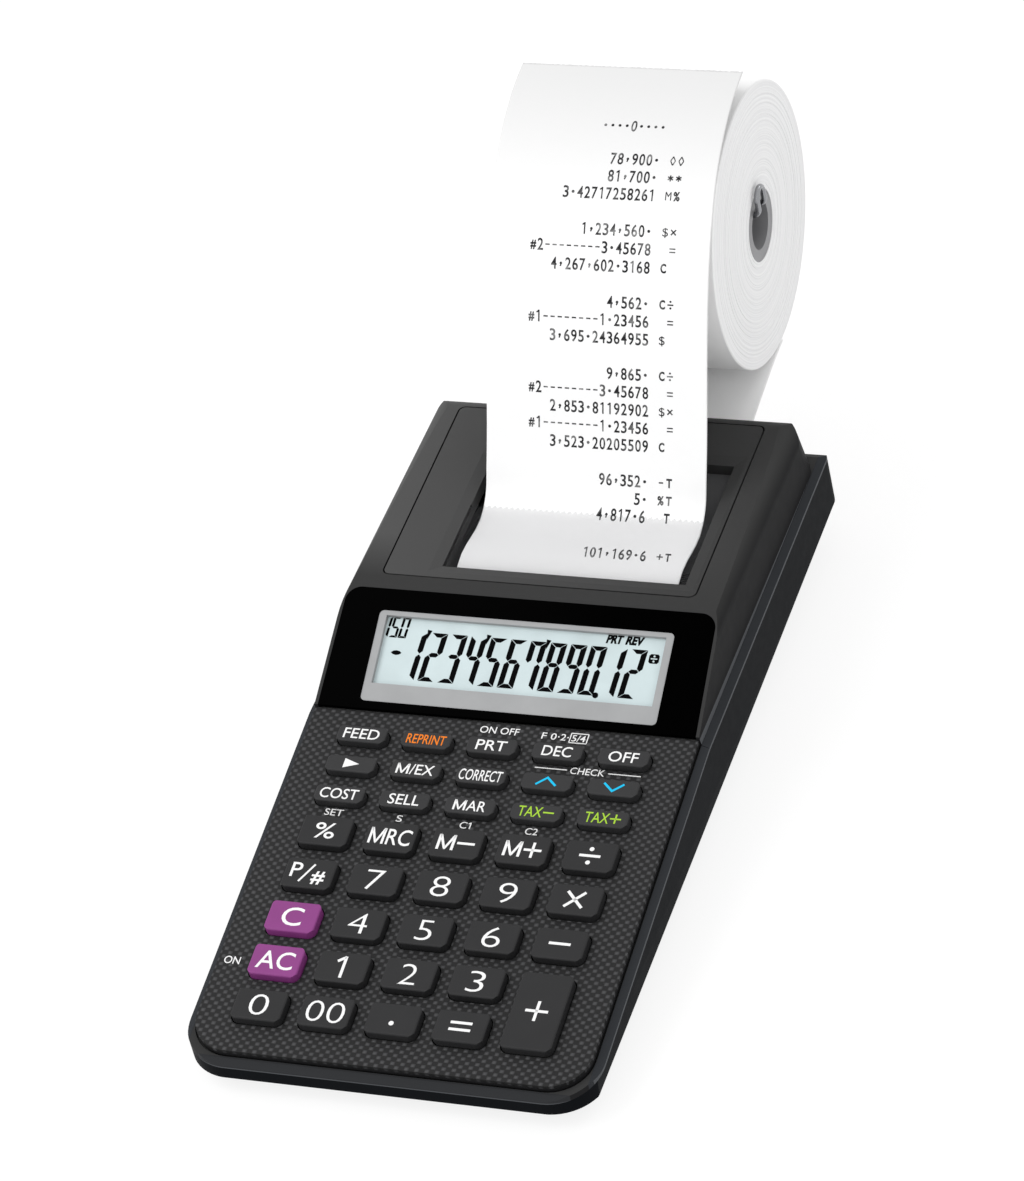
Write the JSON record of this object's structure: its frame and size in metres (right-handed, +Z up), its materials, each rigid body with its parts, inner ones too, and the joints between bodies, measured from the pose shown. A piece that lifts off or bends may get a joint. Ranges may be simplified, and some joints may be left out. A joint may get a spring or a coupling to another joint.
{
  "type": "desk calculator",
  "caption": "Desk printing calculator with keypad, sloping display, printer cover with clear tear bar, and a paper roll on a wire holder.",
  "frame": {"origin": "on the table under the middle of the whole object's box", "axes": "+X to the right across the keys, +Y from the front edge to the paper roll, +Z up"},
  "size_m": [0.102, 0.269, 0.1168],
  "materials": {
    "lower_shell": "fine satin texture",
    "upper_shell": "fine satin texture",
    "panel_plastic": "raised staggered dots",
    "gloss_black": "polished",
    "frame_silver": "satin silver",
    "lcd_cell": "pale reflective liquid crystal cell",
    "cover_plastic": "fine satin texture",
    "clear_plastic": "clear tear bar",
    "silicone": "translucent silicone",
    "board": "lacquered laminate",
    "frame_plastic": "moulded nylon",
    "roller_rubber": "ground rubber",
    "carriage_plastic": "moulded acetal",
    "paper": "smooth uncoated",
    "core_plastic": "satin",
    "wire": "nickel plated wire",
    "door_plastic": "fine satin texture",
    "battery_jacket": "plain jacket",
    "foot_rubber": "matte",
    "screw_steel": "zinc plated",
    "key_plastic": "satin, printed legends",
    "clear_key_plastic": "satin purple, printed legends"
  },
  "bodies": {
    "case": {"lower_case": "lower_shell", "upper_case": "upper_shell", "keyboard_panel": "panel_plastic", "display_bezel": "gloss_black", "lcd_frame": "frame_silver", "lcd_panel": "lcd_cell", "keypad_membrane": "silicone", "circuit_board": "board", "printer_frame": "frame_plastic", "paper_strip": "paper", "paper_holder": "wire", "batteries": "battery_jacket", "rubber_feet": "foot_rubber", "case_screws": "screw_steel"},
    "printer_cover": {"printer_cover": "cover_plastic", "paper_cutter": "clear_plastic"},
    "feed_roller": {"feed_roller": "roller_rubber"},
    "print_carriage": {"print_carriage": "carriage_plastic"},
    "paper_roll": {"paper_roll": "paper", "roll_core": "core_plastic"},
    "battery_cover": {"battery_cover": "door_plastic"},
    "key_feed": {"key_feed": "key_plastic"},
    "key_reprint": {"key_reprint": "key_plastic"},
    "key_print_mode": {"key_print_mode": "key_plastic"},
    "key_decimals": {"key_decimals": "key_plastic"},
    "key_off": {"key_off": "key_plastic"},
    "key_next": {"key_next": "key_plastic"},
    "key_memory_exchange": {"key_memory_exchange": "key_plastic"},
    "key_correct": {"key_correct": "key_plastic"},
    "key_up": {"key_up": "key_plastic"},
    "key_down": {"key_down": "key_plastic"},
    "key_cost": {"key_cost": "key_plastic"},
    "key_sell": {"key_sell": "key_plastic"},
    "key_margin": {"key_margin": "key_plastic"},
    "key_tax_minus": {"key_tax_minus": "key_plastic"},
    "key_tax_plus": {"key_tax_plus": "key_plastic"},
    "key_percent": {"key_percent": "key_plastic"},
    "key_memory_recall": {"key_memory_recall": "key_plastic"},
    "key_memory_minus": {"key_memory_minus": "key_plastic"},
    "key_memory_plus": {"key_memory_plus": "key_plastic"},
    "key_divide": {"key_divide": "key_plastic"},
    "key_number": {"key_number": "key_plastic"},
    "key_7": {"key_7": "key_plastic"},
    "key_8": {"key_8": "key_plastic"},
    "key_9": {"key_9": "key_plastic"},
    "key_multiply": {"key_multiply": "key_plastic"},
    "key_clear": {"key_clear": "clear_key_plastic"},
    "key_4": {"key_4": "key_plastic"},
    "key_5": {"key_5": "key_plastic"},
    "key_6": {"key_6": "key_plastic"},
    "key_minus": {"key_minus": "key_plastic"},
    "key_all_clear": {"key_all_clear": "clear_key_plastic"},
    "key_1": {"key_1": "key_plastic"},
    "key_2": {"key_2": "key_plastic"},
    "key_3": {"key_3": "key_plastic"},
    "key_0": {"key_0": "key_plastic"},
    "key_00": {"key_00": "key_plastic"},
    "key_point": {"key_point": "key_plastic"},
    "key_equals": {"key_equals": "key_plastic"},
    "key_plus": {"key_plus": "key_plastic"}
  },
  "joints": [
    {"name": "printer_cover_lift", "type": "slide", "parent": "case", "child": "printer_cover", "axis": [0, -0.0262, 0.9997], "range_m": [0, 0.012]},
    {"name": "feed_roller_spin", "type": "hinge", "parent": "case", "child": "feed_roller", "pos_m": [0, 0.01149, 0.02819], "axis": [1, 0, 0], "continuous": true},
    {"name": "print_carriage_slide", "type": "slide", "parent": "case", "child": "print_carriage", "axis": [1, 0, 0], "range_m": [0, 0.053]},
    {"name": "paper_roll_spin", "type": "hinge", "parent": "case", "child": "paper_roll", "pos_m": [0, 0.0986, 0.0754], "axis": [1, 0, 0], "continuous": true},
    {"name": "battery_cover_slide", "type": "slide", "parent": "case", "child": "battery_cover", "axis": [0, 1, 0], "range_m": [0, 0.006]},
    {"name": "key_feed_press", "type": "slide", "parent": "case", "child": "key_feed", "axis": [0, 0.1461, -0.9893], "range_m": [0, 0.0016], "stiffness_N_per_m": 200, "deforming": ["keypad_membrane"]},
    {"name": "key_reprint_press", "type": "slide", "parent": "case", "child": "key_reprint", "axis": [0, 0.1461, -0.9893], "range_m": [0, 0.0016], "stiffness_N_per_m": 200, "deforming": ["keypad_membrane"]},
    {"name": "key_print_mode_press", "type": "slide", "parent": "case", "child": "key_print_mode", "axis": [0, 0.1461, -0.9893], "range_m": [0, 0.0016], "stiffness_N_per_m": 200, "deforming": ["keypad_membrane"]},
    {"name": "key_decimals_press", "type": "slide", "parent": "case", "child": "key_decimals", "axis": [0, 0.1461, -0.9893], "range_m": [0, 0.0016], "stiffness_N_per_m": 200, "deforming": ["keypad_membrane"]},
    {"name": "key_off_press", "type": "slide", "parent": "case", "child": "key_off", "axis": [0, 0.1461, -0.9893], "range_m": [0, 0.0016], "stiffness_N_per_m": 200, "deforming": ["keypad_membrane"]},
    {"name": "key_next_press", "type": "slide", "parent": "case", "child": "key_next", "axis": [0, 0.1461, -0.9893], "range_m": [0, 0.0016], "stiffness_N_per_m": 200, "deforming": ["keypad_membrane"]},
    {"name": "key_memory_exchange_press", "type": "slide", "parent": "case", "child": "key_memory_exchange", "axis": [0, 0.1461, -0.9893], "range_m": [0, 0.0016], "stiffness_N_per_m": 200, "deforming": ["keypad_membrane"]},
    {"name": "key_correct_press", "type": "slide", "parent": "case", "child": "key_correct", "axis": [0, 0.1461, -0.9893], "range_m": [0, 0.0016], "stiffness_N_per_m": 200, "deforming": ["keypad_membrane"]},
    {"name": "key_up_press", "type": "slide", "parent": "case", "child": "key_up", "axis": [0, 0.1461, -0.9893], "range_m": [0, 0.0016], "stiffness_N_per_m": 200, "deforming": ["keypad_membrane"]},
    {"name": "key_down_press", "type": "slide", "parent": "case", "child": "key_down", "axis": [0, 0.1461, -0.9893], "range_m": [0, 0.0016], "stiffness_N_per_m": 200, "deforming": ["keypad_membrane"]},
    {"name": "key_cost_press", "type": "slide", "parent": "case", "child": "key_cost", "axis": [0, 0.1461, -0.9893], "range_m": [0, 0.0016], "stiffness_N_per_m": 200, "deforming": ["keypad_membrane"]},
    {"name": "key_sell_press", "type": "slide", "parent": "case", "child": "key_sell", "axis": [0, 0.1461, -0.9893], "range_m": [0, 0.0016], "stiffness_N_per_m": 200, "deforming": ["keypad_membrane"]},
    {"name": "key_margin_press", "type": "slide", "parent": "case", "child": "key_margin", "axis": [0, 0.1461, -0.9893], "range_m": [0, 0.0016], "stiffness_N_per_m": 200, "deforming": ["keypad_membrane"]},
    {"name": "key_tax_minus_press", "type": "slide", "parent": "case", "child": "key_tax_minus", "axis": [0, 0.1461, -0.9893], "range_m": [0, 0.0016], "stiffness_N_per_m": 200, "deforming": ["keypad_membrane"]},
    {"name": "key_tax_plus_press", "type": "slide", "parent": "case", "child": "key_tax_plus", "axis": [0, 0.1461, -0.9893], "range_m": [0, 0.0016], "stiffness_N_per_m": 200, "deforming": ["keypad_membrane"]},
    {"name": "key_percent_press", "type": "slide", "parent": "case", "child": "key_percent", "axis": [0, 0.1461, -0.9893], "range_m": [0, 0.0016], "stiffness_N_per_m": 200, "deforming": ["keypad_membrane"]},
    {"name": "key_memory_recall_press", "type": "slide", "parent": "case", "child": "key_memory_recall", "axis": [0, 0.1461, -0.9893], "range_m": [0, 0.0016], "stiffness_N_per_m": 200, "deforming": ["keypad_membrane"]},
    {"name": "key_memory_minus_press", "type": "slide", "parent": "case", "child": "key_memory_minus", "axis": [0, 0.1461, -0.9893], "range_m": [0, 0.0016], "stiffness_N_per_m": 200, "deforming": ["keypad_membrane"]},
    {"name": "key_memory_plus_press", "type": "slide", "parent": "case", "child": "key_memory_plus", "axis": [0, 0.1461, -0.9893], "range_m": [0, 0.0016], "stiffness_N_per_m": 200, "deforming": ["keypad_membrane"]},
    {"name": "key_divide_press", "type": "slide", "parent": "case", "child": "key_divide", "axis": [0, 0.1461, -0.9893], "range_m": [0, 0.0016], "stiffness_N_per_m": 200, "deforming": ["keypad_membrane"]},
    {"name": "key_number_press", "type": "slide", "parent": "case", "child": "key_number", "axis": [0, 0.1461, -0.9893], "range_m": [0, 0.0016], "stiffness_N_per_m": 200, "deforming": ["keypad_membrane"]},
    {"name": "key_7_press", "type": "slide", "parent": "case", "child": "key_7", "axis": [0, 0.1461, -0.9893], "range_m": [0, 0.0016], "stiffness_N_per_m": 200, "deforming": ["keypad_membrane"]},
    {"name": "key_8_press", "type": "slide", "parent": "case", "child": "key_8", "axis": [0, 0.1461, -0.9893], "range_m": [0, 0.0016], "stiffness_N_per_m": 200, "deforming": ["keypad_membrane"]},
    {"name": "key_9_press", "type": "slide", "parent": "case", "child": "key_9", "axis": [0, 0.1461, -0.9893], "range_m": [0, 0.0016], "stiffness_N_per_m": 200, "deforming": ["keypad_membrane"]},
    {"name": "key_multiply_press", "type": "slide", "parent": "case", "child": "key_multiply", "axis": [0, 0.1461, -0.9893], "range_m": [0, 0.0016], "stiffness_N_per_m": 200, "deforming": ["keypad_membrane"]},
    {"name": "key_clear_press", "type": "slide", "parent": "case", "child": "key_clear", "axis": [0, 0.1461, -0.9893], "range_m": [0, 0.0016], "stiffness_N_per_m": 200, "deforming": ["keypad_membrane"]},
    {"name": "key_4_press", "type": "slide", "parent": "case", "child": "key_4", "axis": [0, 0.1461, -0.9893], "range_m": [0, 0.0016], "stiffness_N_per_m": 200, "deforming": ["keypad_membrane"]},
    {"name": "key_5_press", "type": "slide", "parent": "case", "child": "key_5", "axis": [0, 0.1461, -0.9893], "range_m": [0, 0.0016], "stiffness_N_per_m": 200, "deforming": ["keypad_membrane"]},
    {"name": "key_6_press", "type": "slide", "parent": "case", "child": "key_6", "axis": [0, 0.1461, -0.9893], "range_m": [0, 0.0016], "stiffness_N_per_m": 200, "deforming": ["keypad_membrane"]},
    {"name": "key_minus_press", "type": "slide", "parent": "case", "child": "key_minus", "axis": [0, 0.1461, -0.9893], "range_m": [0, 0.0016], "stiffness_N_per_m": 200, "deforming": ["keypad_membrane"]},
    {"name": "key_all_clear_press", "type": "slide", "parent": "case", "child": "key_all_clear", "axis": [0, 0.1461, -0.9893], "range_m": [0, 0.0016], "stiffness_N_per_m": 200, "deforming": ["keypad_membrane"]},
    {"name": "key_1_press", "type": "slide", "parent": "case", "child": "key_1", "axis": [0, 0.1461, -0.9893], "range_m": [0, 0.0016], "stiffness_N_per_m": 200, "deforming": ["keypad_membrane"]},
    {"name": "key_2_press", "type": "slide", "parent": "case", "child": "key_2", "axis": [0, 0.1461, -0.9893], "range_m": [0, 0.0016], "stiffness_N_per_m": 200, "deforming": ["keypad_membrane"]},
    {"name": "key_3_press", "type": "slide", "parent": "case", "child": "key_3", "axis": [0, 0.1461, -0.9893], "range_m": [0, 0.0016], "stiffness_N_per_m": 200, "deforming": ["keypad_membrane"]},
    {"name": "key_0_press", "type": "slide", "parent": "case", "child": "key_0", "axis": [0, 0.1461, -0.9893], "range_m": [0, 0.0016], "stiffness_N_per_m": 200, "deforming": ["keypad_membrane"]},
    {"name": "key_00_press", "type": "slide", "parent": "case", "child": "key_00", "axis": [0, 0.1461, -0.9893], "range_m": [0, 0.0016], "stiffness_N_per_m": 200, "deforming": ["keypad_membrane"]},
    {"name": "key_point_press", "type": "slide", "parent": "case", "child": "key_point", "axis": [0, 0.1461, -0.9893], "range_m": [0, 0.0016], "stiffness_N_per_m": 200, "deforming": ["keypad_membrane"]},
    {"name": "key_equals_press", "type": "slide", "parent": "case", "child": "key_equals", "axis": [0, 0.1461, -0.9893], "range_m": [0, 0.0016], "stiffness_N_per_m": 200, "deforming": ["keypad_membrane"]},
    {"name": "key_plus_press", "type": "slide", "parent": "case", "child": "key_plus", "axis": [0, 0.1461, -0.9893], "range_m": [0, 0.0016], "stiffness_N_per_m": 200, "deforming": ["keypad_membrane"]}
  ]
}
